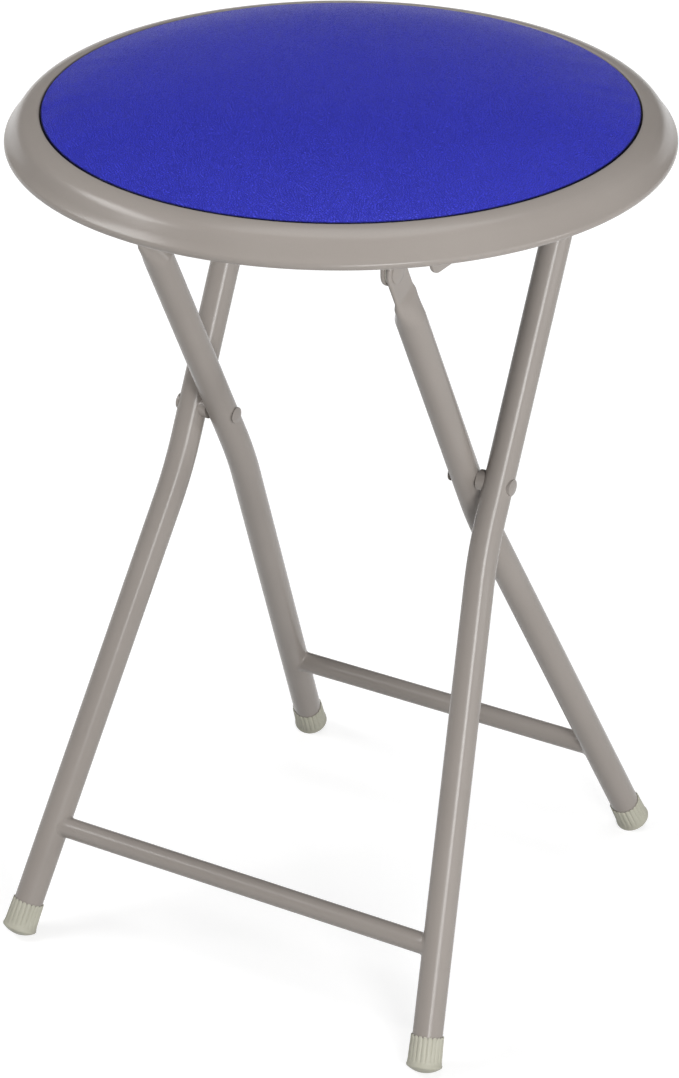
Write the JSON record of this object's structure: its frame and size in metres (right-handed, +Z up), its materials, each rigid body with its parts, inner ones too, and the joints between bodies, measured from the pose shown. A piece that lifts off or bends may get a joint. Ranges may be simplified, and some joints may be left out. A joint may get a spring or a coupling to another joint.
{
  "type": "folding stool",
  "caption": "Folding stool with a round padded vinyl seat in a pressed metal rim, carried on crossed metal tube frames with stretchers and plastic foot caps.",
  "frame": {"origin": "on the floor under the middle of the seat, with the four foot caps standing at z = 0", "axes": "+Z up, -Y the side with the seat's hinge and the outer frame's feet, +X to the right when that side is at the front; the stool is the same on both sides of the YZ plane"},
  "size_m": [0.3199, 0.32, 0.4521],
  "materials": {
    "frame_paint": "satin",
    "vinyl": "satin",
    "foot_cap": "matte",
    "board_ply": "matte",
    "foam": "matte",
    "liner_cloth": "matte",
    "zinc_steel": "satin",
    "catch_plastic": "matte",
    "washer_plastic": "satin"
  },
  "bodies": {
    "inner_frame": {"inner_leg_left": "frame_paint", "inner_leg_right": "frame_paint", "inner_stretcher": "frame_paint", "inner_foot_left": "foot_cap", "inner_foot_right": "foot_cap", "hinge_washer_left": "washer_plastic", "hinge_washer_right": "washer_plastic", "hinge_rivet_left": "frame_paint", "hinge_rivet_right": "frame_paint"},
    "outer_frame": {"outer_leg_left": "frame_paint", "outer_leg_right": "frame_paint", "outer_top_tube": "frame_paint", "outer_stretcher": "frame_paint", "outer_foot_left": "foot_cap", "outer_foot_right": "foot_cap", "pivot_rivet_left": "frame_paint", "pivot_rivet_right": "frame_paint", "pivot_spacer_left": "frame_paint", "pivot_spacer_right": "frame_paint"},
    "seat": {"seat_rim": "frame_paint", "seat_board": "board_ply", "seat_foam": "foam", "seat_cover": "vinyl", "seat_liner": "liner_cloth", "liner_staples": "zinc_steel", "rim_screws": "zinc_steel", "seat_rail_left": "frame_paint", "seat_rail_right": "frame_paint", "rail_screws": "zinc_steel", "catch_left": "catch_plastic", "catch_right": "catch_plastic", "catch_screws": "zinc_steel"}
  },
  "joints": [
    {"name": "leg_pivot", "type": "hinge", "parent": "inner_frame", "child": "outer_frame", "pos_m": [0, 0.0018, 0.2597], "axis": [1, 0, 0], "range_deg": [0, 50]},
    {"name": "seat_hinge", "type": "hinge", "parent": "inner_frame", "child": "seat", "pos_m": [0, -0.06979, 0.3953], "axis": [1, 0, 0], "range_deg": [0, 117.8]}
  ],
  "couplings": [
    {"joint": "seat_hinge", "follows": "leg_pivot", "ratio": 2.356}
  ]
}
